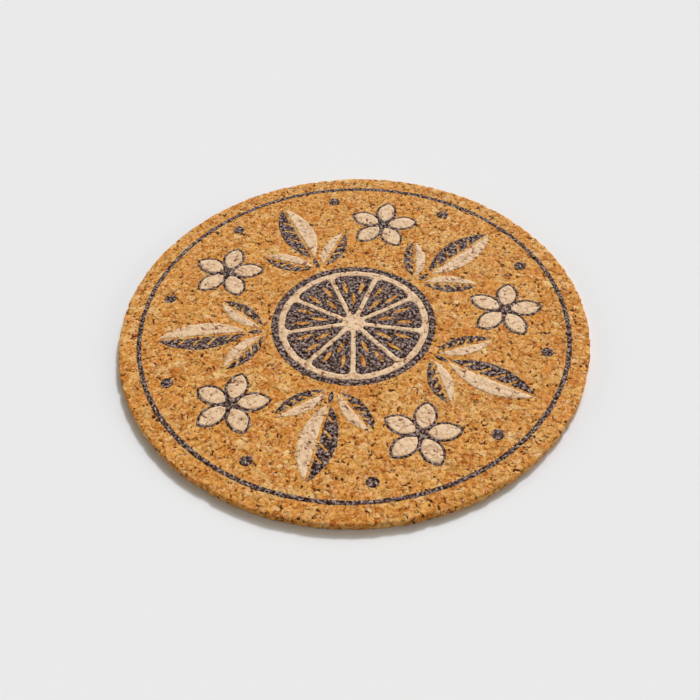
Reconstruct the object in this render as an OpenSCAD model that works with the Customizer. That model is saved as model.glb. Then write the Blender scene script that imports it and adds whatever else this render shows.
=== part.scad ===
// Round cork drink coaster with a print in two inks on its upper face.
// Lengths are in millimetres. The origin is the middle of the lower face, and +Z points up.

/* [Cork disc] */
// Diameter of the disc, die-cut from a cork sheet
disc_d = 100; // [94:1:108]
// Thickness of the cork sheet
disc_t = 2; // [1.5:0.1:6]
// Radius of the softened upper edge
upper_edge_r = 0.35; // [0.1:0.05:0.6]
// Radius of the crisper lower edge
lower_edge_r = 0.15; // [0.05:0.05:0.5]

/* [Ink] */
// Depth that both inks soak into the cork
ink_t = 0.15; // [0.05:0.05:0.5]

/* [Border line] */
// Bare cork between the edge of the disc and the border line
border_margin = 3.8; // [2:0.1:6]
// Width of the border line
border_w = 1; // [0.4:0.1:2]

/* [Fruit wheel] */
// Radius of the fruit wheel, as a share of the radius inside the border line
wheel_radius_share = 0.39; // [0.33:0.01:0.46]
// Bare cork between the fruit wheel and the feet of the sprigs
wheel_gap = 1.8; // [0.5:0.1:3]
// Width of the dark rind
rind_w = 1.5; // [0.5:0.1:2.5]
// Width of the pale pith between the rind and the segments
pith_w = 1.4; // [0.5:0.1:2.5]
// Number of segments
segments = 9; // [6:1:11]
// Width of the pale skin between two segments
skin_w = 1; // [0.4:0.1:1.6]
// Radius of the two outer corners of a segment
segment_corner_r = 1.2; // [0.4:0.1:1.5]
// Radius of the inner corner of a segment
segment_tip_r = 0.5; // [0.2:0.1:0.7]
// Width of a bare juice cell in a segment
cell_w = 0.9; // [0.4:0.1:1.2]

/* [Sprigs] */
// Number of sprigs round the wheel, with a blossom between each two
sprigs = 5; // [3:1:5]
// Bare cork between the border line and the tip of a long leaf
tip_gap = 3; // [1:0.1:4]
// Length of the stem below a long leaf
stem_l = 3.2; // [2:0.1:5]
// Width of the stem
stem_w = 1.1; // [0.5:0.1:1.6]
// Width of a long leaf
long_leaf_w = 7.6; // [5:0.1:8.5]
// Length of a side leaf, as a share of a long leaf's
side_leaf_length_share = 0.63; // [0.5:0.01:0.7]
// Width of a side leaf
side_leaf_w = 5; // [3:0.1:6]
// Angle between a long leaf and a side leaf
side_leaf_angle = 46; // [42:1:52]
// Distance of a side leaf's foot from the middle of the stem
side_leaf_offset = 1.2; // [1:0.1:2]
// Bare cork along the middle of a leaf, between its dark half and its pale half
rib_w = 0.6; // [0.3:0.1:1]
// Width of a bare vein in the dark half of a leaf
vein_w = 0.5; // [0.3:0.1:0.8]

/* [Blossoms] */
// Number of petals on a blossom
petals = 5; // [4:1:6]
// Length of a petal
petal_l = 6.4; // [4:0.1:7]
// Width of a petal
petal_w = 3.8; // [2:0.1:4]
// Dark outline round a petal
petal_line_w = 0.55; // [0.3:0.05:0.8]
// Diameter of the dark middle of a blossom
blossom_eye_d = 2.6; // [1.4:0.1:3]
// Bare cork between a blossom and the border line
blossom_gap = 4; // [2.5:0.1:6]

/* [Berries] */
// Diameter of a berry
berry_d = 2.6; // [1.2:0.1:3.4]
// Bare cork between a berry and the border line
berry_gap = 2.6; // [1.5:0.1:4]

/* [Hidden] */
$fn = 180;
overrun = 1;
edge_steps = 6;
corner_steps = 6;
arc_steps = 12;
cork_colour = "#C88C4B";
dark_ink_colour = "#5A4640";
pale_ink_colour = "#E9C9A5";

// Places in the print: the border line follows the disc, and the sprigs fill the band round the wheel
disc_r = disc_d / 2;
line_outer_r = disc_r - border_margin;
line_inner_r = line_outer_r - border_w;
wheel_r = line_inner_r * wheel_radius_share;
sprig_foot_r = wheel_r + wheel_gap;
long_leaf_foot_r = sprig_foot_r + stem_l;
long_leaf_l = line_inner_r - tip_gap - long_leaf_foot_r;
side_leaf_l = long_leaf_l * side_leaf_length_share;
sprig_pitch = 360 / sprigs;

// A segment of the fruit wheel, drawn along +X
pulp_r = wheel_r - rind_w - pith_w;
segment_pitch = 360 / segments;
segment_half = segment_pitch / 2;
segment_tip_x = (skin_w / 2 + segment_tip_r) / sin(segment_half);
segment_corner_x = pulp_r - segment_corner_r;
segment_corner_turn = segment_half - asin((skin_w / 2 + segment_corner_r) / segment_corner_x);
segment_l = pulp_r - segment_tip_x + segment_tip_r;
cell_length_share = 0.32;
cell_start_shares = [0.24, 0.54, 0.54];
cell_turn_shares = [0, -0.46, 0.46];

// Veins of a leaf, as shares of the leaf's length and of its half width
vein_start_shares = [0.15, 0.32, 0.49, 0.66];
vein_reach_shares = [0.62, 0.88, 0.88, 0.66];
vein_angle = 48;

// A blossom, centred on the origin
blossom_eye_r = blossom_eye_d / 2;
petal_bow_r = bow_radius(petal_l, petal_w);
petal_line_l = 2 * sqrt(pow(petal_bow_r + petal_line_w, 2) - pow(petal_bow_r - petal_w / 2, 2));
petal_line_start = blossom_eye_r - (petal_line_l - petal_l) / 2;
blossom_reach = petal_line_start + petal_line_l;
blossom_centre_r = line_inner_r - blossom_gap - blossom_reach;

// Berries, two beside the tip of each long leaf
berry_centre_r = line_inner_r - berry_gap - berry_d / 2;
berry_turn_share = 0.24;

// Radius of the two arcs that bound a pointed oval of length l and width w
function bow_radius(l, w) = (l * l + w * w) / (4 * w);

// Points of an arc round centre c from angle a0 to angle a1, both ends included
function arc(c, r, a0, a1, steps) =
    [for (i = [0:steps]) let (a = a0 + (a1 - a0) * i / steps) c + r * [cos(a), sin(a)]];

// The same arc without its two ends
function open_arc(c, r, a0, a1, steps) =
    [for (i = [1:steps - 1]) let (a = a0 + (a1 - a0) * i / steps) c + r * [cos(a), sin(a)]];

// Outline of one segment: a wedge with round corners and a round outer side
function segment_points() =
    let (corner = segment_corner_x * [cos(segment_corner_turn), sin(segment_corner_turn)])
    concat(
        arc([segment_tip_x, 0], segment_tip_r, 90 + segment_half, 270 - segment_half, corner_steps),
        arc([corner.x, -corner.y], segment_corner_r, -90 - segment_half, -segment_corner_turn, corner_steps),
        open_arc([0, 0], pulp_r, -segment_corner_turn, segment_corner_turn, arc_steps),
        arc(corner, segment_corner_r, segment_corner_turn, 90 + segment_half, corner_steps));

// Half section of the disc, with its two rounded edges
function disc_section_points() = concat(
    [[0, 0]],
    arc([disc_r - lower_edge_r, lower_edge_r], lower_edge_r, -90, 0, edge_steps),
    arc([disc_r - upper_edge_r, disc_t - upper_edge_r], upper_edge_r, 0, 90, edge_steps),
    [[0, disc_t]]);

// Pointed oval from the origin along +X
module pointed_oval(l, w) {
    bow_r = bow_radius(l, w);
    translate([l / 2, 0])
        intersection() {
            translate([0, bow_r - w / 2]) circle(bow_r);
            translate([0, w / 2 - bow_r]) circle(bow_r);
        }
}

// Copies round the middle of the disc: along the sprigs, or half a pitch on
module each_sprig(turn = 0) {
    for (i = [0:sprigs - 1]) rotate(sprig_pitch * i + turn) children();
}

module each_segment() {
    for (i = [0:segments - 1]) rotate(segment_pitch * i) children();
}

module each_petal() {
    for (i = [0:petals - 1]) rotate(360 / petals * i) children();
}

module border_line_shape() {
    difference() {
        circle(line_outer_r);
        circle(line_inner_r);
    }
}

// Bare juice cells inside one segment
module cell_shapes() {
    for (i = [0:len(cell_start_shares) - 1])
        rotate(segment_half * cell_turn_shares[i])
            translate([segment_tip_x - segment_tip_r + segment_l * cell_start_shares[i], 0])
                pointed_oval(segment_l * cell_length_share, cell_w);
}

module segment_shape() {
    difference() {
        polygon(segment_points());
        cell_shapes();
    }
}

// The dark half of a leaf lies on the left of its rib, with bare veins in it
module dark_half_shape(l, w) {
    difference() {
        intersection() {
            pointed_oval(l, w);
            translate([0, rib_w / 2]) square([l, w]);
        }
        for (i = [0:len(vein_start_shares) - 1])
            translate([l * vein_start_shares[i], 0])
                rotate(vein_angle)
                    translate([0, -vein_w / 2])
                        square([w / 2 * vein_reach_shares[i], vein_w]);
    }
}

module pale_half_shape(l, w) {
    intersection() {
        pointed_oval(l, w);
        translate([0, -w - rib_w / 2]) square([l, w]);
    }
}

module place_long_leaf() {
    translate([long_leaf_foot_r, 0]) children();
}

// The two side leaves mirror each other across the stem
module place_side_leaves() {
    for (side = [0, 1])
        mirror([0, side])
            translate([sprig_foot_r, side_leaf_offset])
                rotate(side_leaf_angle)
                    children();
}

module stem_shape() {
    translate([sprig_foot_r, 0]) pointed_oval(stem_l, stem_w);
}

module place_blossom() {
    translate([blossom_centre_r, 0]) children();
}

module petal_shape() {
    translate([blossom_eye_r, 0]) pointed_oval(petal_l, petal_w);
}

// A blossom with its outlines, before the petals are cut out
module blossom_shape() {
    circle(blossom_eye_r);
    each_petal() translate([petal_line_start, 0])
        pointed_oval(petal_line_l, petal_w + 2 * petal_line_w);
}

module berry_shapes() {
    for (side = [-1, 1])
        rotate(side * sprig_pitch * berry_turn_share)
            translate([berry_centre_r, 0])
                circle(berry_d / 2);
}

// Ink fills its shape from the upper face down, and the recess for it is open above
module ink() {
    translate([0, 0, disc_t - ink_t]) linear_extrude(ink_t) children();
}

module recess() {
    translate([0, 0, disc_t - ink_t]) linear_extrude(ink_t + overrun) children();
}

module cork_disc() {
    color(cork_colour)
        difference() {
            rotate_extrude() polygon(disc_section_points());
            recess() border_line_shape();
            recess() difference() {
                circle(wheel_r);
                each_segment() cell_shapes();
            }
            recess() each_sprig() place_long_leaf() dark_half_shape(long_leaf_l, long_leaf_w);
            recess() each_sprig() place_long_leaf() pale_half_shape(long_leaf_l, long_leaf_w);
            recess() each_sprig() place_side_leaves() dark_half_shape(side_leaf_l, side_leaf_w);
            recess() each_sprig() place_side_leaves() pale_half_shape(side_leaf_l, side_leaf_w);
            recess() each_sprig() stem_shape();
            recess() each_sprig(sprig_pitch / 2) place_blossom() blossom_shape();
            recess() each_sprig() berry_shapes();
        }
}

module border_line() {
    color(dark_ink_colour) ink() border_line_shape();
}

module wheel_rind() {
    color(dark_ink_colour) ink() difference() {
        circle(wheel_r);
        circle(wheel_r - rind_w);
    }
}

module wheel_pith() {
    color(pale_ink_colour) ink() difference() {
        circle(wheel_r - rind_w);
        each_segment() polygon(segment_points());
    }
}

module wheel_segments() {
    color(dark_ink_colour) ink() each_segment() segment_shape();
}

module long_leaf_dark_halves() {
    color(dark_ink_colour) ink() each_sprig() place_long_leaf() dark_half_shape(long_leaf_l, long_leaf_w);
}

module long_leaf_pale_halves() {
    color(pale_ink_colour) ink() each_sprig() place_long_leaf() pale_half_shape(long_leaf_l, long_leaf_w);
}

module side_leaf_dark_halves() {
    color(dark_ink_colour) ink() each_sprig() place_side_leaves() dark_half_shape(side_leaf_l, side_leaf_w);
}

module side_leaf_pale_halves() {
    color(pale_ink_colour) ink() each_sprig() place_side_leaves() pale_half_shape(side_leaf_l, side_leaf_w);
}

module sprig_stems() {
    color(dark_ink_colour) ink() each_sprig() stem_shape();
}

module blossom_petals() {
    color(pale_ink_colour) ink() each_sprig(sprig_pitch / 2) place_blossom() each_petal() petal_shape();
}

module blossom_lines() {
    color(dark_ink_colour) ink() each_sprig(sprig_pitch / 2) place_blossom() difference() {
        blossom_shape();
        each_petal() petal_shape();
    }
}

module berries() {
    color(dark_ink_colour) ink() each_sprig() berry_shapes();
}

cork_disc();
border_line();
wheel_rind();
wheel_pith();
wheel_segments();
long_leaf_dark_halves();
long_leaf_pale_halves();
side_leaf_dark_halves();
side_leaf_pale_halves();
sprig_stems();
blossom_petals();
blossom_lines();
berries();
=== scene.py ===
import math

import bpy
import numpy as np
from bpy.props import FloatProperty, FloatVectorProperty, IntProperty, PointerProperty
from mathutils import Matrix, Vector, noise
from mathutils.geometry import delaunay_2d_cdt
from mathutils.kdtree import KDTree


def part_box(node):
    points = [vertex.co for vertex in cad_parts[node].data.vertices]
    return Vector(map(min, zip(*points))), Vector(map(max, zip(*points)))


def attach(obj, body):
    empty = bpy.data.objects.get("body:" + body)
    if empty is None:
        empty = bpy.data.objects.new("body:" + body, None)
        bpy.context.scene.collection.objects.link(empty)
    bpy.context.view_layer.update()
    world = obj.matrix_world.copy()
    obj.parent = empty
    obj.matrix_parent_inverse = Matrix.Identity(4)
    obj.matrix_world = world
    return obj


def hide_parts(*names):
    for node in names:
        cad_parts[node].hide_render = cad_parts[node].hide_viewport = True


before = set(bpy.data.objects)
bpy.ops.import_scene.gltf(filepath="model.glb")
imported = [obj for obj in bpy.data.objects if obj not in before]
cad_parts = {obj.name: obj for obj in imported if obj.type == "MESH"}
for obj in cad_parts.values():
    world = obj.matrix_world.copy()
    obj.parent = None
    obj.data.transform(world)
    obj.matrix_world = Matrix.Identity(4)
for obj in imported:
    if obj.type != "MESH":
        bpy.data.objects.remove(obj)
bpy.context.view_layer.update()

bl_info = {
    "name": "Cork coaster",
    "version": (1, 0, 0),
    "blender": (4, 5, 0),
    "location": "View3D > Sidebar > Coaster",
    "description": "Round pressed-cork coaster with a print in two inks",
    "category": "Object",
}

MM = 0.001
# Turns metres into millimetres
UNIT = 1.0 / MM
DISC_LOW, DISC_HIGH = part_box("cork_disc")
DISC_R = (DISC_HIGH.x - DISC_LOW.x) / 2
DISC_T = DISC_HIGH.z - DISC_LOW.z
# Seed of the noise and of the loose points, so that every run gives the same coaster
SEED = 20

# How near each other corners of the CAD mesh, boxes of outlines and triangulated points count as one
SAME_CORNER = 1e-7
SAME_BOX = 0.05 * MM
SAME_POINT = 1e-8

# Loose points keep this share of a step from every line, and are shaken by this share of it
LOOSE_GAP = 0.6
LOOSE_SHAKE = 0.16
# Rings of points round the upper edge, and the least number of rows down the wall
UPPER_RINGS = 3
LEAST_WALL_ROWS = 2

# Noise that moves the edge of the ink: scale per millimetre, and the level it is read at
RAGGED_LAYERS = ((1.3, 0.0), (0.5, 5.0 * MM))
# Noise that moves the cut edge: scale, the level it is read at, and its strength
DRIFT_LAYERS = ((7.0, 0.0, 1.0), (22.0, 0.5, 0.6))
# Width of the band that moves with the cut edge, and how narrow its bulge is
EDGE_BAND = 3.0 * MM
BULGE_POWER = 4
# The wall below this share of the thickness crumbles by this share
LOW_WALL = 0.3
LOW_CRUMB = 0.5

# Zones of the cork's map
FACE, BACK, EDGE = range(3)
# Shares of the side of the cork's map, and the gap between its parts
FACE_SHARE = 0.75
BACK_SHARE = 0.21
MAP_GAP = 0.01
SIDE_START = FACE_SHARE + 2 * MAP_GAP
EDGE_STRIPS = 8
STRIP_LENGTH = 0.21
STRIP_DEPTH = 0.04
STRIP_PITCH = 0.06
# Shares of the side of a film's map, and where its lower side starts
FILM_TOP_SHARE = 0.78
FILM_LOW_SHARE = 0.18
FILM_LOW_START = 0.81

# The floor's half width in metres, and how far it lies below the disc
FLOOR_HALF = 3.0
FLOOR_GAP = 0.01 * MM
# Width of the camera's sensor in millimetres, and the nearest that it sees in metres
SENSOR_WIDTH = 36.0
NEAREST = 0.01

# Clouds of noise: scale per millimetre, detail and roughness
CLOUDS = {
    "wander": (1.3, 3.0, 0.55),
    "cluster": (0.45, 1.0, 0.5),
    "seam": (0.8, 2.0, 0.5),
    "stroke": (1.0, 2.0, 0.5),
    "crumb": (1.25, 2.0, 0.5),
    "rim crumb": (0.8, 3.0, 0.5),
    "grit": (1.6, 2.0, 0.5),
    "grain": (0.8, 3.0, 0.55),
    "fleck": (1.4, 3.0, 0.55),
    "speck": (2.0, 2.0, 0.6),
    "dark mottle": (0.7, 2.0, 0.6),
    "dark spot": (1.5, 2.0, 0.7),
    "pale mottle": (1.3, 3.0, 0.6),
    "pale spot": (2.4, 2.0, 0.6),
}

# Smooth steps: where each starts and ends, and its values there
STEPS = {
    "seam": (0.42, 0.60, 0.0, 1.0),
    "groove": (0.0, 0.20, 1.0, 0.0),
    "stroke patch": (0.55, 0.62, 0.0, 1.0),
    "stroke": (0.04, 0.20, 1.0, 0.0),
    "missing": (0.78, 0.85, 0.0, 1.0),
    "pit": (0.08, 0.34, 1.0, 0.0),
    "rim crumb": (0.52, 0.64, 0.0, 1.0),
    "cream chip": (0.72, 0.88, 0.0, 0.45),
    "rose chip": (0.82, 0.94, 0.0, 0.55),
    "grain light": (0.25, 0.75, -0.15, 0.15),
    "fleck light": (0.3, 0.7, -0.15, 0.15),
    "granule light": (0.0, 1.0, -0.09, 0.09),
    "chip light": (0.0, 1.0, -0.07, 0.07),
    "speck": (0.62, 0.68, 0.0, 1.0),
    "cork pit shade": (0.25, 0.75, 0.0, 1.0),
    "cork roughness": (0.2, 0.8, 0.62, 0.82),
    "dark body": (0.36, 0.66, 0.0, 1.0),
    "dark painted glint": (0.50, 0.64, 0.0, 1.0),
    "dark deep": (0.48, 0.35, 0.0, 1.0),
    "dark pit shade": (0.3, 0.8, 0.0, 1.0),
    "dark roughness": (0.4, 0.65, 0.46, 0.25),
    "dark shine": (0.44, 0.62, 0.02, 0.7),
    "pale thin": (0.45, 0.72, 0.0, 1.0),
    "pale spot": (0.62, 0.70, 0.0, 1.0),
    "pale pit shade": (0.35, 0.85, 0.0, 1.0),
    "pale roughness": (0.3, 0.7, 0.50, 0.68),
}

# How strongly each mark covers the colour below it
MARKS = {
    "cork groove shade": 0.20,
    "cork stroke shade": 0.70,
    "cork speck": 0.8,
    "pale tint": 0.2,
    "pale groove shade": 0.3,
    "pale stroke shade": 0.3,
    "pale spot": 0.5,
}

# Share of the large granules that stay whole, and the pull of the clusters on the missing ones
WHOLE_SHARE = 0.45
CLUSTER_PULL = 0.35
# Stretch of the streaks in a granule
GRAIN_STRETCH = (1.0, 3.0, 3.0)
# The granules' colours, by their place among the random tints
CORK_STOPS = ((0.00, "brown"), (0.16, "tan"), (0.34, "honey"), (0.50, "tan"),
              (0.66, "orange"), (0.80, "honey"), (0.90, "straw"), (1.00, "olive"))
# Share of the brightening that is held back, and what light does to a colour's value and gamma:
# its slope, and the amount without light
LIGHT_HOLD = -0.4
LIGHT_SCALE = (0.65, 1.10)
LIGHT_GAMMA = (-1.5, 1.04)
# Heights of fine relief in millimetres: the grit of the mesh, and the bumps of the three materials
GRIT_HEIGHT = 0.10
CORK_FINE = 0.11
DARK_FINE = (0.10, 0.60)
PALE_FINE = (0.05, 0.06)
# Strength of the bumps
CORK_BUMP = 0.8
DARK_BUMP = 1.0
PALE_BUMP = 0.8
# Shine of the cork and of the pale ink, and how light goes through the cork
CORK_SHINE = 0.12
PALE_SHINE = 0.2
CORK_GLOW = 0.45
CORK_GLOW_COLOURS = (1.0, 0.45, 0.2)
CORK_GLOW_DEPTH = 0.6 * MM

# The printed patches, by the ink that they are printed in
BORDER_PATCHES = {"border_line": "dark_ink"}
WHEEL_PATCHES = {"wheel_rind": "dark_ink", "wheel_pith": "pale_ink", "wheel_segments": "dark_ink"}
SPRIG_PATCHES = {
    "long_leaf_dark_halves": "dark_ink",
    "long_leaf_pale_halves": "pale_ink",
    "side_leaf_dark_halves": "dark_ink",
    "side_leaf_pale_halves": "pale_ink",
    "sprig_stems": "dark_ink",
}
BLOSSOM_PATCHES = {"blossom_petals": "pale_ink", "blossom_lines": "dark_ink"}
BERRY_PATCHES = {"berries": "dark_ink"}
ALL_PATCHES = {**BORDER_PATCHES, **WHEEL_PATCHES, **SPRIG_PATCHES, **BLOSSOM_PATCHES, **BERRY_PATCHES}


def srgb(red, green, blue):
    """Linear colour, with alpha, of an sRGB colour given in 0 to 255."""
    def linear(value):
        value /= 255.0
        return value / 12.92 if value <= 0.04045 else ((value + 0.055) / 1.055) ** 2.4
    return (linear(red), linear(green), linear(blue), 1.0)


def colour_property(name, description, red, green, blue):
    """A colour, given as sRGB in 0 to 255."""
    return FloatVectorProperty(name=name, description=description, subtype="COLOR", size=4,
                               min=0.0, max=1.0, default=srgb(red, green, blue))


def length_property(name, description, millimetres):
    """A length, given in millimetres."""
    return FloatProperty(name=name, description=description, default=millimetres * MM,
                         min=0.0, precision=5, unit="LENGTH")


def angle_property(name, description, degrees):
    """An angle, given in degrees."""
    return FloatProperty(name=name, description=description, default=math.radians(degrees),
                         subtype="ANGLE")


def strength_property(name, description, strength):
    """The strength of a light."""
    return FloatProperty(name=name, description=description, default=strength, min=0.0)


class CorkSettings(bpy.types.PropertyGroup):
    """Sizes and colours of the pressed cork."""
    granule: length_property("Granule", "Typical width of a large granule", 2.5)
    small_granule: length_property("Small granule", "Typical width of a small granule", 1.3)
    chip_size: length_property("Chip", "Typical width of a chip inside a granule", 0.60)
    wobble: length_property("Wobble", "How far the outline of a granule wanders", 0.40)
    unevenness: length_property("Unevenness", "Height between the highest and lowest granules", 0.08)
    groove: length_property("Groove", "Depth of the grooves between granules", 0.05)
    pit: length_property("Pit", "Depth of the pits where granules are missing", 0.16)
    crumb: length_property("Crumb", "Depth of the crumbs lost from the rim", 0.30)
    rim_band: length_property("Rim band", "Width of the band near the edge that crumbles", 0.9)
    edge_drift: length_property("Edge drift", "How far the cut edge strays from a circle", 0.16)
    bulge: length_property("Bulge", "How far one side of the cut edge stands out", 0.45)
    bulge_turn: angle_property("Bulge side", "Side on which the cut edge stands out", -50.0)
    foot: length_property("Foot", "Rounding where the cut edge meets the floor", 0.40)
    face_step: length_property("Face step", "Spacing of the points on the printed face", 0.36)
    back_step: length_property("Back step", "Spacing of the points on the lower face", 0.75)
    rim_step: length_property("Rim step", "Spacing of the points round the cut edge", 0.30)
    brown: colour_property("Brown", "Darkest granules", 187, 117, 42)
    tan: colour_property("Tan", "Common granules", 205, 145, 70)
    honey: colour_property("Honey", "Common bright granules", 209, 153, 78)
    orange: colour_property("Orange", "Warm granules", 205, 137, 60)
    straw: colour_property("Straw", "Palest granules", 216, 173, 114)
    olive: colour_property("Olive", "Greyish granules", 198, 147, 76)
    cream: colour_property("Cream", "Pale chips in the granules", 220, 184, 122)
    rose: colour_property("Rose", "Pinkish chips in the granules", 222, 170, 128)
    # Painted shade: this colour darkens the grooves and the strokes between granules, and it also colours the
    # dark specks
    gap: colour_property("Gap", "Binder in the grooves", 120, 58, 8)
    # Painted shade: the dark colour laid in the pits where granules are missing
    hollow: colour_property("Hollow", "Bottom of the pits", 84, 36, 8)


class InkSettings(bpy.types.PropertyGroup):
    """Sizes and colours of the two printed inks."""
    lift: length_property("Lift", "Height of an ink film above the cork", 0.012)
    soak: length_property("Soak", "Depth of an ink film in the cork", 0.05)
    ragged: length_property("Ragged", "How far the edge of a patch wanders", 0.07)
    edge_step: length_property("Edge step", "Spacing of the points along the edge of a patch", 0.30)
    dark: colour_property("Dark ink", "Purple-brown ink", 98, 69, 59)
    # Also laid in the pits as painted shade
    dark_deep: colour_property("Dark ink, deep", "Purple-brown ink where it is thick", 44, 21, 14)
    # Painted glints: a pale grey laid on random spots of the dark ink, where the lamps would glint
    dark_painted_glint: colour_property("Dark ink, thin", "Purple-brown ink on the high granules", 164, 138, 124)
    pale: colour_property("Pale ink", "Cream ink", 230, 198, 160)
    pale_thin: colour_property("Pale ink, thin", "Cream ink where cork shows through", 206, 162, 116)
    # Bare cork where the cream ink is broken: real at the random spots, and darkened as painted shade in the
    # grooves, strokes and pits
    pale_gap: colour_property("Pale ink, gap", "Grooves that cream ink left bare", 140, 74, 46)


class StageSettings(bpy.types.PropertyGroup):
    """The floor, the light and the camera."""
    floor: colour_property("Floor", "Plain pale floor and the room around it", 232, 232, 232)
    key_colour: colour_property("Key colour", "Colour of the main light and the wide light", 244, 248, 255)
    fill_colour: colour_property("Fill colour", "Colour of the low lights and the light from all round",
                                 255, 247, 229)
    key_power: strength_property("Key", "Strength of the main light", 2.17)
    key_softness: angle_property("Key softness", "Angle across the main light", 9.0)
    key_turn: angle_property("Key turn", "Main light to the right of straight behind", 23.0)
    key_height: angle_property("Key height", "Main light above the floor", 43.0)
    soft_power: strength_property("Softbox", "Strength of the wide light", 1.33)
    soft_width: angle_property("Softbox width", "Angle across the wide light", 45.0)
    right_power: strength_property("Right", "Strength of the low light from the right", 0.80)
    right_turn: angle_property("Right turn", "Low right light to the right of straight behind", 104.0)
    left_power: strength_property("Left", "Strength of the low light from the left", 0.60)
    left_turn: angle_property("Left turn", "Low left light to the left of straight behind", 92.0)
    side_width: angle_property("Side width", "Angle across each low light", 32.0)
    side_height: angle_property("Side height", "Low lights above the floor", 17.0)
    fill: strength_property("Fill", "Strength of the light from all round", 0.20)
    turn: angle_property("Turn", "Camera's angle round the coaster", 32.0)
    height: angle_property("Height", "Camera's angle above the floor", 47.54)
    roll: angle_property("Roll", "Camera's tilt about its own axis", -2.16)
    distance: FloatProperty(name="Distance", description="Camera to the middle of the printed face, in radii",
                            default=4.17, min=1.0)
    lens: FloatProperty(name="Lens", description="Focal length in millimetres", default=50.0, min=1.0)
    centre_x: FloatProperty(name="Across", default=4.3,
                            description="Middle of the coaster right of the picture's, in pixels")
    centre_y: FloatProperty(name="Down", default=-26.9,
                            description="Middle of the coaster below the picture's, in pixels")
    picture: IntProperty(name="Picture", description="Side of the square picture in pixels", default=700)


class Nodes:
    """Adds nodes to a shader tree or a geometry tree. Both hold the same maths and textures."""

    def __init__(self, tree):
        self.tree = tree

    def add(self, kind, inputs=None, **settings):
        """A new node with the given settings, and its inputs fed by name or number."""
        node = self.tree.nodes.new(kind)
        for name, value in settings.items():
            setattr(node, name, value)
        for name, value in (inputs or {}).items():
            self.feed(node.inputs[name], value)
        return node

    def feed(self, socket, value):
        """Link an output to a socket, or set the socket to a plain value."""
        if isinstance(value, bpy.types.NodeSocket):
            self.tree.links.new(value, socket)
        else:
            socket.default_value = value

    def math(self, operation, *values):
        """The result of a calculation with numbers."""
        return self.add("ShaderNodeMath", dict(enumerate(values)), operation=operation).outputs[0]

    def vector(self, operation, *values, scale=None):
        """The result of a calculation with vectors or colours."""
        node = self.add("ShaderNodeVectorMath", dict(enumerate(values)), operation=operation)
        if scale is not None:
            self.feed(node.inputs["Scale"], scale)
        return node.outputs["Vector"]

    def axis(self, vector, letter):
        """One of the three numbers in a vector or a colour."""
        return self.add("ShaderNodeSeparateXYZ", {0: vector}).outputs[letter]

    def spread(self, value, step):
        """Smooth step of a value, by its name in STEPS."""
        low, high, to_low, to_high = STEPS[step]
        inputs = {"Value": value, "From Min": low, "From Max": high, "To Min": to_low, "To Max": to_high}
        return self.add("ShaderNodeMapRange", inputs, interpolation_type="SMOOTHSTEP").outputs["Result"]

    def cloud(self, place, name, output="Fac"):
        """Noise at a place, by its name in CLOUDS."""
        scale, detail, roughness = CLOUDS[name]
        inputs = {"Vector": place, "Scale": scale, "Detail": detail, "Roughness": roughness}
        return self.add("ShaderNodeTexNoise", inputs).outputs[output]

    def cells(self, place, width, feature="F1"):
        """Random cells of a typical width."""
        return self.add("ShaderNodeTexVoronoi", {"Vector": place, "Scale": 1.0 / width}, feature=feature)

    def blend(self, share, first, second):
        """Colour between first and second."""
        return self.add("ShaderNodeMix", {0: share, 6: first, 7: second}, data_type="RGBA").outputs[2]

    def between(self, share, first, second):
        """Number between first and second."""
        return self.add("ShaderNodeMix", {0: share, 2: first, 3: second}, data_type="FLOAT").outputs[0]

    def marked(self, base, mark, name, colour):
        """The base colour, covered by a colour where a mark shows, as strongly as MARKS says."""
        return self.blend(self.math("MULTIPLY", mark, MARKS[name]), base, tuple(colour))


def cork_field(nodes, place, cork):
    """The granules at a place given in millimetres: their tint, grooves, pits and height."""
    straight = place
    wander = nodes.vector("SUBTRACT", nodes.cloud(place, "wander", "Color"), (0.5, 0.5, 0.5))
    place = nodes.vector("ADD", place, nodes.vector("SCALE", wander, scale=2.0 * cork.wobble * UNIT))
    large = cork.granule * UNIT
    small = cork.small_granule * UNIT
    large_cell = nodes.cells(place, large).outputs["Color"]
    small_cell = nodes.cells(place, small).outputs["Color"]
    large_edge = nodes.cells(place, large, "DISTANCE_TO_EDGE").outputs["Distance"]
    small_edge = nodes.cells(place, small, "DISTANCE_TO_EDGE").outputs["Distance"]
    broken = nodes.math("GREATER_THAN", nodes.axis(large_cell, "Z"), WHOLE_SHARE)
    tint = nodes.blend(broken, large_cell, small_cell)
    small_gap = nodes.between(broken, large, nodes.math("MULTIPLY", small_edge, small))
    edge = nodes.math("MINIMUM", nodes.math("MULTIPLY", large_edge, large), small_gap)
    cluster = nodes.cloud(straight, "cluster")
    seam = nodes.spread(nodes.cloud(straight, "seam"), "seam")
    groove = nodes.math("MULTIPLY", nodes.spread(edge, "groove"), seam)
    stroke_patch = nodes.spread(nodes.cloud(straight, "stroke"), "stroke patch")
    stroke = nodes.math("MULTIPLY", nodes.spread(edge, "stroke"), stroke_patch)
    crumbs = nodes.math("MULTIPLY_ADD", cluster, CLUSTER_PULL, nodes.cloud(straight, "crumb"))
    pit = nodes.math("MULTIPLY", nodes.spread(edge, "pit"), nodes.spread(crumbs, "missing"))
    level = nodes.math("SUBTRACT", nodes.axis(tint, "Y"), 0.5)
    height = nodes.math("MULTIPLY", level, cork.unevenness * UNIT)
    for hollow, depth in ((groove, cork.groove), (stroke, cork.groove), (pit, cork.pit)):
        height = nodes.math("MULTIPLY_ADD", hollow, -depth * UNIT, height)
    return {"place": place, "tint": tint, "groove": groove, "stroke": stroke, "pit": pit, "height": height}


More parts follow.
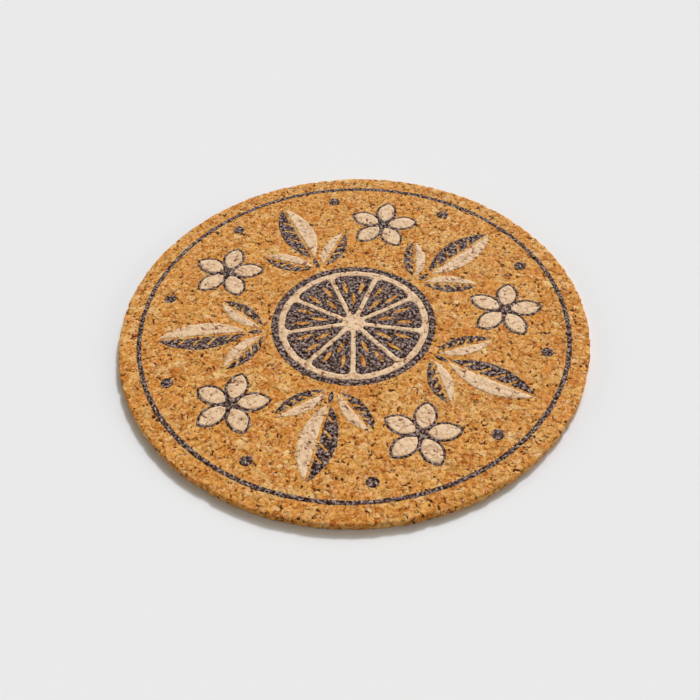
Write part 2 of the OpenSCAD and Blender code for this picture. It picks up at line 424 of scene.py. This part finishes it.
def relief_modifier_tree(cork):
    """Geometry nodes that raise and lower the smooth cork by its granules, and crumble its rim."""
    tree = bpy.data.node_groups.new("cork_relief", "GeometryNodeTree")
    tree.interface.new_socket(name="Geometry", in_out="INPUT", socket_type="NodeSocketGeometry")
    tree.interface.new_socket(name="Geometry", in_out="OUTPUT", socket_type="NodeSocketGeometry")
    nodes = Nodes(tree)
    enter = nodes.add("NodeGroupInput")
    leave = nodes.add("NodeGroupOutput")
    position = nodes.add("GeometryNodeInputPosition").outputs[0]
    normal = nodes.add("GeometryNodeInputNormal").outputs[0]
    place = nodes.vector("SCALE", position, scale=UNIT)
    field = cork_field(nodes, place, cork)
    rim = nodes.add("GeometryNodeInputNamedAttribute", {"Name": "rim"}, data_type="FLOAT").outputs[0]
    crumb = nodes.spread(nodes.cloud(place, "rim crumb"), "rim crumb")
    chip = nodes.math("MULTIPLY", nodes.math("MULTIPLY", crumb, rim), -cork.crumb * UNIT)
    grit = nodes.math("MULTIPLY", nodes.math("SUBTRACT", nodes.cloud(place, "grit"), 0.5), GRIT_HEIGHT)
    height = nodes.math("ADD", nodes.math("ADD", field["height"], chip), grit)
    offset = nodes.vector("SCALE", normal, scale=nodes.math("MULTIPLY", height, MM))
    moved = nodes.add("GeometryNodeSetPosition", {"Geometry": enter.outputs[0], "Offset": offset})
    tree.links.new(moved.outputs[0], leave.inputs[0])
    return tree


def new_material(name, cork):
    """A material with its nodes, its shader, the place in millimetres and the granules there."""
    material = bpy.data.materials.new(name)
    material.use_nodes = True
    material.node_tree.nodes.clear()
    nodes = Nodes(material.node_tree)
    shader = nodes.add("ShaderNodeBsdfPrincipled")
    output = nodes.add("ShaderNodeOutputMaterial")
    nodes.feed(output.inputs["Surface"], shader.outputs[0])
    coordinates = nodes.add("ShaderNodeTexCoord").outputs["Object"]
    place = nodes.vector("SCALE", coordinates, scale=UNIT)
    return material, nodes, shader, place, cork_field(nodes, place, cork)


def add_bump(nodes, shader, field, fine, strength):
    """Bump a shader by the granules' height and a fine relief, both in millimetres."""
    relief = nodes.math("ADD", field["height"], fine)
    bump = nodes.add("ShaderNodeBump", {"Height": relief, "Distance": MM, "Strength": strength})
    nodes.feed(shader.inputs["Normal"], bump.outputs[0])


def colour_ramp(nodes, value, stops):
    """Colour of a value on a ramp of stops, each a place and a colour."""
    node = nodes.add("ShaderNodeValToRGB", {0: value})
    ramp = node.color_ramp
    while len(ramp.elements) < len(stops):
        ramp.elements.new(0.5)
    for element, (position, colour) in zip(ramp.elements, stops):
        element.position = position
        element.color = colour
    return node.outputs["Color"]


def granule_grain(nodes, field):
    """Fine streaks that run another way in each granule."""
    turned = nodes.add("ShaderNodeVectorRotate", {
        "Vector": field["place"],
        "Axis": field["tint"],
        "Angle": nodes.math("MULTIPLY", nodes.axis(field["tint"], "X"), math.tau),
    }, rotation_type="AXIS_ANGLE").outputs[0]
    return nodes.cloud(nodes.vector("MULTIPLY", turned, GRAIN_STRETCH), "grain")


def cork_light(nodes, field, chip, grain, fleck):
    """How much lighter or darker the cork is at a place, from its streaks, flecks, granule and chip."""
    light = nodes.math("ADD", nodes.spread(grain, "grain light"), nodes.spread(fleck, "fleck light"))
    light = nodes.math("ADD", light, nodes.spread(nodes.axis(field["tint"], "Z"), "granule light"))
    light = nodes.math("ADD", light, nodes.spread(nodes.axis(chip, "Y"), "chip light"))
    return nodes.math("MULTIPLY_ADD", nodes.math("MAXIMUM", light, 0.0), LIGHT_HOLD, light)


def cork_material(cork):
    """Matt cork, with a tint for each granule, painted shade in the grooves, the strokes along granule edges
    and the pits, and dark specks.
    """
    material, nodes, shader, place, field = new_material("pressed_cork", cork)
    stops = [(position, tuple(getattr(cork, name))) for position, name in CORK_STOPS]
    base = colour_ramp(nodes, nodes.axis(field["tint"], "X"), stops)
    chip = nodes.cells(field["place"], cork.chip_size * UNIT).outputs["Color"]
    base = nodes.blend(nodes.spread(nodes.axis(chip, "X"), "cream chip"), base, tuple(cork.cream))
    base = nodes.blend(nodes.spread(nodes.axis(chip, "Z"), "rose chip"), base, tuple(cork.rose))
    grain = granule_grain(nodes, field)
    fleck = nodes.cloud(field["place"], "fleck")
    light = cork_light(nodes, field, chip, grain, fleck)
    tone_and_crevice_shade = nodes.add("ShaderNodeGamma", {
        "Color": nodes.vector("SCALE", base, scale=nodes.math("MULTIPLY_ADD", light, *LIGHT_SCALE)),
        "Gamma": nodes.math("MULTIPLY_ADD", light, *LIGHT_GAMMA),
    }).outputs[0]
    # Painted shade: the grooves and the strokes along granule edges are darkened with the gap colour
    tone_and_crevice_shade = nodes.marked(tone_and_crevice_shade, field["groove"], "cork groove shade", cork.gap)
    tone_and_crevice_shade = nodes.marked(tone_and_crevice_shade, field["stroke"], "cork stroke shade", cork.gap)
    tone_and_crevice_shade = nodes.marked(tone_and_crevice_shade, nodes.spread(nodes.cloud(place, "speck"), "speck"), "cork speck", cork.gap)
    # Painted shade: the pits are darkened towards the hollow colour
    deep = nodes.spread(field["pit"], "cork pit shade")
    nodes.feed(shader.inputs["Base Color"], nodes.blend(deep, tone_and_crevice_shade, tuple(cork.hollow)))
    nodes.feed(shader.inputs["Roughness"], nodes.spread(grain, "cork roughness"))
    shader.inputs["Specular IOR Level"].default_value = CORK_SHINE
    shader.inputs["Subsurface Weight"].default_value = CORK_GLOW
    shader.inputs["Subsurface Radius"].default_value = CORK_GLOW_COLOURS
    shader.inputs["Subsurface Scale"].default_value = CORK_GLOW_DEPTH
    fine = nodes.math("MULTIPLY", nodes.math("ADD", grain, fleck), CORK_FINE)
    add_bump(nodes, shader, field, fine, CORK_BUMP)
    return material


def ink_fine(nodes, mottle, spot, heights):
    """Fine relief of an ink film, from the heights of its mottle and its spots."""
    mottle_height, spot_height = heights
    return nodes.math("ADD", nodes.math("MULTIPLY", mottle, mottle_height),
                      nodes.math("MULTIPLY", spot, spot_height))


def dark_ink_material(cork, ink):
    """Purple-brown ink, with painted glints in the spots where it is also shinier."""
    material, nodes, shader, place, field = new_material("dark_ink", cork)
    mottle = nodes.cloud(place, "dark mottle")
    spot = nodes.cloud(place, "dark spot")
    base = nodes.blend(nodes.spread(mottle, "dark body"), tuple(ink.dark_deep), tuple(ink.dark))
    # Painted glints: the spots that get more shine are also lightened towards a pale grey
    base = nodes.blend(nodes.spread(spot, "dark painted glint"), base, tuple(ink.dark_painted_glint))
    base = nodes.blend(nodes.spread(spot, "dark deep"), base, tuple(ink.dark_deep))
    # Painted shade: the pits are darkened to the deepest ink colour
    deep = nodes.spread(field["pit"], "dark pit shade")
    nodes.feed(shader.inputs["Base Color"], nodes.blend(deep, base, tuple(ink.dark_deep)))
    nodes.feed(shader.inputs["Roughness"], nodes.spread(spot, "dark roughness"))
    nodes.feed(shader.inputs["Specular IOR Level"], nodes.spread(spot, "dark shine"))
    add_bump(nodes, shader, field, ink_fine(nodes, mottle, spot, DARK_FINE), DARK_BUMP)
    return material


def pale_ink_material(cork, ink):
    """Cream ink, thin in places and broken by the grooves, where the bare cork is darkened as painted shade.
    """
    material, nodes, shader, place, field = new_material("pale_ink", cork)
    mottle = nodes.cloud(place, "pale mottle")
    spot = nodes.cloud(place, "pale spot")
    base = nodes.blend(nodes.spread(mottle, "pale thin"), tuple(ink.pale), tuple(ink.pale_thin))
    base = nodes.marked(base, nodes.axis(field["tint"], "X"), "pale tint", ink.pale_thin)
    # Painted shade: the grooves and strokes, where the ink leaves cork bare, are darkened
    base = nodes.marked(base, field["groove"], "pale groove shade", ink.pale_gap)
    base = nodes.marked(base, field["stroke"], "pale stroke shade", ink.pale_gap)
    base = nodes.marked(base, nodes.spread(spot, "pale spot"), "pale spot", ink.pale_gap)
    # Painted shade: the pits are darkened to the bare cork colour
    deep = nodes.spread(field["pit"], "pale pit shade")
    nodes.feed(shader.inputs["Base Color"], nodes.blend(deep, base, tuple(ink.pale_gap)))
    nodes.feed(shader.inputs["Roughness"], nodes.spread(mottle, "pale roughness"))
    shader.inputs["Specular IOR Level"].default_value = PALE_SHINE
    add_bump(nodes, shader, field, ink_fine(nodes, mottle, spot, PALE_FINE), PALE_BUMP)
    return material


def patch_outlines(node):
    """Closed outlines of a printed patch, as arrays of points, from the top face of its CAD solid."""
    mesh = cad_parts[node].data
    top = max(vertex.co.z for vertex in mesh.vertices)
    places = {}
    # A dictionary, because a set would not keep the order of the edges
    open_edges = {}
    for face in mesh.polygons:
        corners = [mesh.vertices[index].co for index in face.vertices]
        if min(corner.z for corner in corners) < top - SAME_CORNER:
            continue
        keys = [(round(corner.x / SAME_CORNER), round(corner.y / SAME_CORNER)) for corner in corners]
        for key, corner in zip(keys, corners):
            places[key] = (corner.x, corner.y)
        for start, end in zip(keys, keys[1:] + keys[:1]):
            if (end, start) in open_edges:
                del open_edges[(end, start)]
            else:
                open_edges[(start, end)] = True
    following = {start: end for start, end in open_edges}
    outlines = []
    while following:
        start = next(iter(following))
        loop = [start]
        key = following.pop(start)
        while key != start:
            loop.append(key)
            key = following.pop(key)
        outlines.append(np.array([places[key] for key in loop]))
    return outlines


def refined(outline, step):
    """The outline with points no more than one step apart."""
    points = []
    for start, end in zip(outline, np.roll(outline, -1, axis=0)):
        parts = max(1, round(float(np.linalg.norm(end - start)) / step))
        for part in range(parts):
            points.append(start + (end - start) * part / parts)
    return np.array(points)


def ragged(points, reach):
    """The points moved a little way each, alike for points at one place."""
    moved = []
    for x, y in points:
        shift = Vector()
        for scale, level in RAGGED_LAYERS:
            shift += noise.noise_vector(Vector((x, y, level)) * (scale * UNIT))
        moved.append((x + shift.x * reach, y + shift.y * reach))
    return np.array(moved)


def inside(points, outlines):
    """True for each point inside the outlines, counting crossings."""
    result = np.zeros(len(points), bool)
    for outline in outlines:
        low, high = outline.min(0), outline.max(0)
        near = np.flatnonzero(np.all((points >= low) & (points <= high), axis=1))
        x, y = points[near, 0], points[near, 1]
        odd = np.zeros(len(near), bool)
        for (x0, y0), (x1, y1) in zip(outline, np.roll(outline, -1, axis=0)):
            if y0 == y1:
                continue
            crosses = (y0 > y) != (y1 > y)
            odd ^= crosses & (x < (x1 - x0) * (y - y0) / (y1 - y0) + x0)
        result[near] ^= odd
    return result


def lattice(radius, step, random):
    """Points on a slightly shaken triangular lattice inside a circle."""
    rows = []
    row_step = step * math.sqrt(3.0) / 2.0
    count = int(radius / row_step)
    for row in range(-count, count + 1):
        start = -math.ceil(radius / step) * step + (row % 2) * step / 2.0
        xs = np.arange(start, radius, step)
        rows.append(np.column_stack([xs, np.full(len(xs), row * row_step)]))
    points = np.vstack(rows)
    points += random.uniform(-LOOSE_SHAKE, LOOSE_SHAKE, points.shape) * step
    return points[np.hypot(points[:, 0], points[:, 1]) < radius - LOOSE_GAP * step]


def clear_of(points, taken, distance):
    """The points that lie further than distance from every taken one."""
    tree = KDTree(len(taken))
    for index, (x, y) in enumerate(taken):
        tree.insert((x, y, 0.0), index)
    tree.balance()
    kept = [tree.find((x, y, 0.0))[2] > distance for x, y in points]
    return points[np.array(kept)]


def circle_points(radius, count):
    """Points spaced evenly round a circle."""
    angles = np.arange(count) / count * math.tau
    return np.column_stack([np.cos(angles), np.sin(angles)]) * radius


def at_height(points, height):
    """Flat points lifted to a height."""
    return np.column_stack([points, np.full(len(points), height)])


def strip_between(upper, lower):
    """Triangles between two rings of point numbers."""
    next_upper, next_lower = np.roll(upper, -1), np.roll(lower, -1)
    return np.vstack([np.column_stack([upper, lower, next_lower]),
                      np.column_stack([upper, next_lower, next_upper])])


def triangulated(loops, loose):
    """Triangles over the loops' points and the loose points, with every loop's edges kept.
    The first loop is the boundary. Returns points, triangles and the boundary's point numbers."""
    points = []
    edges = []
    for loop in loops:
        first = len(points)
        points.extend(Vector(point) for point in loop)
        edges.extend((first + i, first + (i + 1) % len(loop)) for i in range(len(loop)))
    points.extend(Vector(point) for point in loose)
    corners, _, faces, origins, _, _ = delaunay_2d_cdt(points, edges, [], 0, SAME_POINT, True)
    place = {}
    for index, sources in enumerate(origins):
        for source in sources:
            place[source] = index
    boundary = [place[i] for i in range(len(loops[0]))]
    corners = np.array([tuple(corner) for corner in corners])
    return corners, np.array([list(face) for face in faces]), boundary


class Sheet:
    """What the operators share: the moved points of the face, the faces of each patch and the inks."""
    points = None
    patches = {}
    materials = {}


def print_loops(ink):
    """The outlines of all patches, once each where two patches share one, and each patch's own."""
    noise.seed_set(SEED)
    own = {}
    shared = []
    boxes = []
    for node in ALL_PATCHES:
        own[node] = []
        for outline in patch_outlines(node):
            points = ragged(refined(outline, ink.edge_step), ink.ragged)
            own[node].append(points)
            box = np.concatenate([outline.min(0), outline.max(0)])
            if not any(np.abs(box - other).max() < SAME_BOX for other in boxes):
                boxes.append(box)
                shared.append(points)
    return shared, own


def rim_profile(cork):
    """Radius of the face, radius and height of the rings below it, and radius of the back."""
    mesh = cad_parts["cork_disc"].data
    radii = np.array([math.hypot(vertex.co.x, vertex.co.y) for vertex in mesh.vertices])
    heights = np.array([vertex.co.z for vertex in mesh.vertices])
    face_r = radii[heights > DISC_HIGH.z - SAME_CORNER].max()
    upper = DISC_R - face_r
    lower = cork.foot
    rings = []
    for ring in range(1, UPPER_RINGS + 1):
        angle = ring / UPPER_RINGS * math.pi / 2
        rings.append((face_r + upper * math.sin(angle), DISC_HIGH.z - upper * (1 - math.cos(angle))))
    wall = DISC_T - upper - lower
    rows = max(LEAST_WALL_ROWS, round(wall / cork.rim_step))
    for row in range(1, rows + 1):
        rings.append((DISC_R, DISC_HIGH.z - upper - wall * row / rows))
    half_way = math.pi / 4
    rings.append((DISC_R - lower * (1 - math.cos(half_way)), DISC_LOW.z + lower * (1 - math.sin(half_way))))
    return face_r, rings, DISC_R - lower


def smooth_cork(cork, ink):
    """Points and triangles of the smooth closed disc, the zone of the map that each triangle uses,
    the face triangles of each patch, and the number of points on the face."""
    random = np.random.default_rng(SEED)
    face_r, rings, back_r = rim_profile(cork)
    around = round(math.tau * DISC_R / cork.rim_step)
    loops, own = print_loops(ink)
    loops = [circle_points(face_r, around)] + loops
    loose = lattice(face_r, cork.face_step, random)
    loose = clear_of(loose, np.vstack(loops), LOOSE_GAP * ink.edge_step)
    face_points, face_triangles, face_edge = triangulated(loops, loose)
    back_loop = circle_points(back_r, around)
    loose = clear_of(lattice(back_r, cork.back_step, random), back_loop, LOOSE_GAP * cork.rim_step)
    back_points, back_triangles, back_edge = triangulated([back_loop], loose)
    middles = face_points[face_triangles].mean(axis=1)
    patch_faces = {node: face_triangles[inside(middles, outlines)] for node, outlines in own.items()}
    points = [at_height(face_points, DISC_HIGH.z)]
    rows = [np.array(face_edge)]
    count = len(face_points)
    for radius, height in rings:
        points.append(at_height(circle_points(radius, around), height))
        rows.append(np.arange(count, count + around))
        count += around
    points.append(at_height(back_points, DISC_LOW.z))
    rows.append(np.array(back_edge) + count)
    wall = np.vstack([strip_between(upper, lower) for upper, lower in zip(rows, rows[1:])])
    back = back_triangles[:, ::-1] + count
    zone = np.repeat([FACE, BACK, EDGE], [len(face_triangles), len(back), len(wall)])
    return np.vstack(points), np.vstack([face_triangles, back, wall]), zone, patch_faces, len(face_points)


def new_piece(name, points, triangles, corner_uv, material):
    """A mesh object with smooth shading, its own map for baking, and one material."""
    mesh = bpy.data.meshes.new(name)
    mesh.from_pydata(points.tolist(), [], triangles.tolist())
    layer = mesh.uv_layers.new(name="OFBake")
    layer.data.foreach_set("uv", corner_uv.astype(np.float32).ravel())
    mesh.polygons.foreach_set("use_smooth", np.ones(len(triangles), bool))
    mesh.materials.append(material)
    mesh.update()
    piece = bpy.data.objects.new(name, mesh)
    bpy.context.scene.collection.objects.link(piece)
    return piece


def cork_map(points, triangles, zone):
    """The face takes most of the map, the back a corner, and the cut edge strips below the back."""
    corners = points[triangles]
    across = (corners[:, :, :2] + DISC_R) / (2 * DISC_R)
    uv = across * FACE_SHARE + MAP_GAP
    back = zone == BACK
    uv[back] = across[back] * BACK_SHARE + SIDE_START
    wall = zone == EDGE
    angle = np.arctan2(corners[wall, :, 1], corners[wall, :, 0]) / math.tau
    start = angle[:, :1]
    angle = start + (angle - start + 0.5) % 1.0 - 0.5
    middle = angle.mean(axis=1)
    strip = np.floor(middle % 1.0 * EDGE_STRIPS)
    along = (angle - np.floor(middle)[:, None]) * EDGE_STRIPS - strip[:, None]
    depth = (DISC_HIGH.z - corners[wall, :, 2]) / DISC_T
    uv[wall] = np.stack([
        SIDE_START + along * STRIP_LENGTH,
        3 * MAP_GAP + strip[:, None] * STRIP_PITCH + depth * STRIP_DEPTH], axis=2)
    return uv


def film_map(points, triangles, top_count):
    """The upper side of a film takes most of the map, and its lower side a corner."""
    corners = points[triangles][:, :, :2]
    low, high = points[:, :2].min(0), points[:, :2].max(0)
    across = (corners - low) / (high - low).max()
    uv = across * FILM_TOP_SHARE + MAP_GAP
    uv[top_count:] = across[top_count:] * FILM_LOW_SHARE + FILM_LOW_START
    return uv


def rim_share(points, cork):
    """How much each point may crumble: all of it at the cut edge, less low down, nothing inside."""
    radii = np.hypot(points[:, 0], points[:, 1])
    share = np.clip((radii - (DISC_R - cork.rim_band)) / cork.rim_band, 0.0, 1.0)
    return share * np.where(points[:, 2] > DISC_LOW.z + DISC_T * LOW_WALL, 1.0, LOW_CRUMB)


def raised(piece, points, cork):
    """The places of a piece's points once geometry nodes have raised its granules."""
    attribute = piece.data.attributes.new("rim", "FLOAT", "POINT")
    attribute.data.foreach_set("value", rim_share(points, cork).astype(np.float32))
    modifier = piece.modifiers.new("relief", "NODES")
    modifier.node_group = relief_modifier_tree(cork)
    bpy.context.view_layer.update()
    moved = piece.evaluated_get(bpy.context.evaluated_depsgraph_get()).data
    places = np.empty(len(points) * 3, np.float32)
    moved.vertices.foreach_get("co", places)
    piece.modifiers.clear()
    piece.data.attributes.remove(piece.data.attributes["rim"])
    return places.reshape(-1, 3).astype(float)


def drift_at(angle):
    """How far the cut edge strays at an angle, as a share of the edge drift."""
    drift = 0.0
    for scale, level, strength in DRIFT_LAYERS:
        drift += strength * noise.noise(Vector((math.cos(angle), math.sin(angle), level)) * scale)
    return drift


def edge_stretch(points, cork):
    """How much each point moves outwards, so that the cut edge drifts and bulges on one side."""
    radii = np.hypot(points[:, 0], points[:, 1])
    angles = np.arctan2(points[:, 1], points[:, 0])
    drift = np.array([drift_at(angle) for angle in angles])
    bulge = np.maximum(np.cos(angles - cork.bulge_turn), 0.0) ** BULGE_POWER
    near = np.clip((radii - (DISC_R - EDGE_BAND)) / EDGE_BAND, 0.0, 1.0) ** 2
    return 1.0 + near * (drift * cork.edge_drift + bulge * cork.bulge) / DISC_R


def press_cork(cork, ink):
    """The cork disc: one closed mesh with granules, grooves, pits and a crumbled edge."""
    points, triangles, zone, patch_faces, face_count = smooth_cork(cork, ink)
    material = cork_material(cork)
    piece = new_piece("pressed_cork_disc", points, triangles, cork_map(points, triangles, zone), material)
    places = raised(piece, points, cork)
    places[:, :2] *= edge_stretch(points, cork)[:, None]
    places[:, 2] = np.maximum(places[:, 2], DISC_LOW.z)
    piece.data.vertices.foreach_set("co", places.astype(np.float32).ravel())
    piece.data.update()
    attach(piece, "root")
    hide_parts("cork_disc")
    Sheet.points = places[:face_count]
    Sheet.patches = patch_faces


def print_film(node, slot, ink):
    """One ink film: a thin closed skin over the cork's own points."""
    faces = Sheet.patches[node]
    used, local = np.unique(faces, return_inverse=True)
    local = local.reshape(faces.shape)
    cork_points = Sheet.points[used]
    upper = cork_points + (0.0, 0.0, ink.lift)
    lower = cork_points - (0.0, 0.0, ink.soak)
    count = len(used)
    pairs = np.vstack([local[:, [0, 1]], local[:, [1, 2]], local[:, [2, 0]]]).tolist()
    there = set(map(tuple, pairs))
    rim = np.array([(a, b) for a, b in pairs if (b, a) not in there])
    skirt = np.vstack([
        np.column_stack([rim[:, 1], rim[:, 0], rim[:, 0] + count]),
        np.column_stack([rim[:, 1], rim[:, 0] + count, rim[:, 1] + count])])
    points = np.vstack([upper, lower])
    triangles = np.vstack([local, local[:, ::-1] + count, skirt])
    piece = new_piece(node + "_film", points, triangles, film_map(points, triangles, len(local)),
                      Sheet.materials[slot])
    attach(piece, "root")
    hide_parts(node)


def print_films(patches, context):
    """Print the films of some patches, with the two inks made at the first call."""
    cork, ink = context.scene.coaster_cork, context.scene.coaster_ink
    if not Sheet.materials:
        Sheet.materials = {"dark_ink": dark_ink_material(cork, ink), "pale_ink": pale_ink_material(cork, ink)}
    for node, slot in patches.items():
        print_film(node, slot, ink)


def build_floor(stage):
    """The floor lies a hair below the disc, so that the two never share a plane."""
    half = FLOOR_HALF
    level = DISC_LOW.z - FLOOR_GAP
    mesh = bpy.data.meshes.new("floor")
    corners = [(-half, -half, level), (half, -half, level), (half, half, level), (-half, half, level)]
    mesh.from_pydata(corners, [], [(0, 1, 2, 3)])
    floor = bpy.data.objects.new("floor", mesh)
    bpy.context.scene.collection.objects.link(floor)
    material = bpy.data.materials.new("floor")
    material.use_nodes = True
    material.node_tree.nodes.clear()
    nodes = Nodes(material.node_tree)
    shader = nodes.add("ShaderNodeBsdfDiffuse", {"Color": tuple(stage.floor)})
    nodes.feed(nodes.add("ShaderNodeOutputMaterial").inputs["Surface"], shader.outputs[0])
    mesh.materials.append(material)


def build_sun(name, colour, power, width, heading, height):
    """A distant light that shines from a heading, at an angle above the floor."""
    light = bpy.data.lights.new(name, "SUN")
    light.color = tuple(colour)[:3]
    light.energy = power
    light.angle = width
    lamp = bpy.data.objects.new(name, light)
    bpy.context.scene.collection.objects.link(lamp)
    towards = Vector((-math.sin(heading) * math.cos(height), math.cos(heading) * math.cos(height),
                      math.sin(height)))
    lamp.rotation_euler = towards.to_track_quat("Z", "Y").to_euler()
    lamp.location = towards


def build_light(stage):
    """The main light and the wide light behind the coaster, a low light on each side, and the room."""
    behind = stage.turn
    key = (behind - stage.key_turn, stage.key_height)
    build_sun("key", stage.key_colour, stage.key_power, stage.key_softness, *key)
    build_sun("softbox", stage.key_colour, stage.soft_power, stage.soft_width, *key)
    build_sun("right side", stage.fill_colour, stage.right_power, stage.side_width,
              behind - stage.right_turn, stage.side_height)
    build_sun("left side", stage.fill_colour, stage.left_power, stage.side_width,
              behind + stage.left_turn, stage.side_height)
    world = bpy.data.worlds.new("studio")
    bpy.context.scene.world = world
    world.use_nodes = True
    world.node_tree.nodes.clear()
    nodes = Nodes(world.node_tree)
    path = nodes.add("ShaderNodeLightPath").outputs
    seen = nodes.math("MAXIMUM", path["Is Camera Ray"], path["Is Glossy Ray"])
    seen = nodes.math("MAXIMUM", seen, path["Is Transmission Ray"])
    room = nodes.add("ShaderNodeBackground", {
        "Color": nodes.blend(seen, tuple(stage.fill_colour), tuple(stage.floor)),
        "Strength": nodes.between(seen, stage.fill, 1.0),
    })
    nodes.feed(nodes.add("ShaderNodeOutputWorld").inputs["Surface"], room.outputs[0])


def build_camera(stage):
    """The camera, from the angles, the distance and the place in the picture that the settings give."""
    data = bpy.data.cameras.new("camera")
    data.sensor_width = SENSOR_WIDTH
    data.lens = stage.lens
    data.clip_start = NEAREST
    camera = bpy.data.objects.new("camera", data)
    bpy.context.scene.collection.objects.link(camera)
    turn, height = stage.turn, stage.height
    right = Vector((math.cos(turn), math.sin(turn), 0.0))
    back = Vector((math.sin(turn) * math.cos(height), -math.cos(turn) * math.cos(height), math.sin(height)))
    up = back.cross(right)
    focal_pixels = stage.lens / data.sensor_width * stage.picture
    distance = stage.distance * DISC_R
    pixel = distance / focal_pixels
    target = Vector((0.0, 0.0, DISC_HIGH.z))
    place = target + back * distance - right * stage.centre_x * pixel + up * stage.centre_y * pixel
    aim = Matrix((right, up, back)).transposed().to_4x4()
    camera.matrix_world = Matrix.Translation(place) @ aim @ Matrix.Rotation(stage.roll, 4, "Z")
    bpy.context.scene.camera = camera


class COASTER_OT_stage(bpy.types.Operator):
    """Set up the pale floor, the light and the camera"""
    bl_idname = "coaster.stage"
    bl_label = "Set the stage"

    def execute(self, context):
        stage = context.scene.coaster_stage
        build_camera(stage)
        build_floor(stage)
        build_light(stage)
        context.scene.view_settings.view_transform = "Standard"
        return {"FINISHED"}


class COASTER_OT_cork(bpy.types.Operator):
    """Press the granulated cork disc, with its grooves, pits and crumbled edge"""
    bl_idname = "coaster.cork"
    bl_label = "Press the cork disc"

    def execute(self, context):
        press_cork(context.scene.coaster_cork, context.scene.coaster_ink)
        return {"FINISHED"}


class COASTER_OT_border(bpy.types.Operator):
    """Print the thin border line"""
    bl_idname = "coaster.border"
    bl_label = "Print the border line"

    def execute(self, context):
        print_films(BORDER_PATCHES, context)
        return {"FINISHED"}


class COASTER_OT_wheel(bpy.types.Operator):
    """Print the fruit wheel: rind, pith and segments"""
    bl_idname = "coaster.wheel"
    bl_label = "Print the fruit wheel"

    def execute(self, context):
        print_films(WHEEL_PATCHES, context)
        return {"FINISHED"}


class COASTER_OT_sprigs(bpy.types.Operator):
    """Print the leaves and stems of the sprigs"""
    bl_idname = "coaster.sprigs"
    bl_label = "Print the sprigs"

    def execute(self, context):
        print_films(SPRIG_PATCHES, context)
        return {"FINISHED"}


class COASTER_OT_blossoms(bpy.types.Operator):
    """Print the blossoms' petals and outlines"""
    bl_idname = "coaster.blossoms"
    bl_label = "Print the blossoms"

    def execute(self, context):
        print_films(BLOSSOM_PATCHES, context)
        return {"FINISHED"}


class COASTER_OT_berries(bpy.types.Operator):
    """Print the berries beside the leaf tips"""
    bl_idname = "coaster.berries"
    bl_label = "Print the berries"

    def execute(self, context):
        print_films(BERRY_PATCHES, context)
        return {"FINISHED"}


OPERATORS = (COASTER_OT_stage, COASTER_OT_cork, COASTER_OT_border, COASTER_OT_wheel, COASTER_OT_sprigs,
             COASTER_OT_blossoms, COASTER_OT_berries)
SETTINGS = {"coaster_cork": CorkSettings, "coaster_ink": InkSettings, "coaster_stage": StageSettings}


class COASTER_PT_panel(bpy.types.Panel):
    """Lists the steps that make the coaster, and its settings"""
    bl_idname = "COASTER_PT_panel"
    bl_label = "Cork coaster"
    bl_space_type = "VIEW_3D"
    bl_region_type = "UI"
    bl_category = "Coaster"

    def draw(self, context):
        for operator in OPERATORS:
            self.layout.operator(operator.bl_idname)
        for name, settings in SETTINGS.items():
            box = self.layout.box()
            for key in settings.__annotations__:
                box.prop(getattr(context.scene, name), key)


def register():
    """Make the settings, the steps and the panel known to Blender."""
    for settings in SETTINGS.values():
        bpy.utils.register_class(settings)
    for name, settings in SETTINGS.items():
        setattr(bpy.types.Scene, name, PointerProperty(type=settings))
    for operator in OPERATORS:
        bpy.utils.register_class(operator)
    bpy.utils.register_class(COASTER_PT_panel)


def unregister():
    """Take the panel, the steps and the settings away again."""
    bpy.utils.unregister_class(COASTER_PT_panel)
    for operator in reversed(OPERATORS):
        bpy.utils.unregister_class(operator)
    for name in SETTINGS:
        delattr(bpy.types.Scene, name)
    for settings in SETTINGS.values():
        bpy.utils.unregister_class(settings)


def main():
    """Make the coaster and its stage."""
    register()
    bpy.ops.coaster.stage()
    bpy.ops.coaster.cork()
    bpy.ops.coaster.border()
    bpy.ops.coaster.wheel()
    bpy.ops.coaster.sprigs()
    bpy.ops.coaster.blossoms()
    bpy.ops.coaster.berries()


if __name__ == "__main__":
    main()
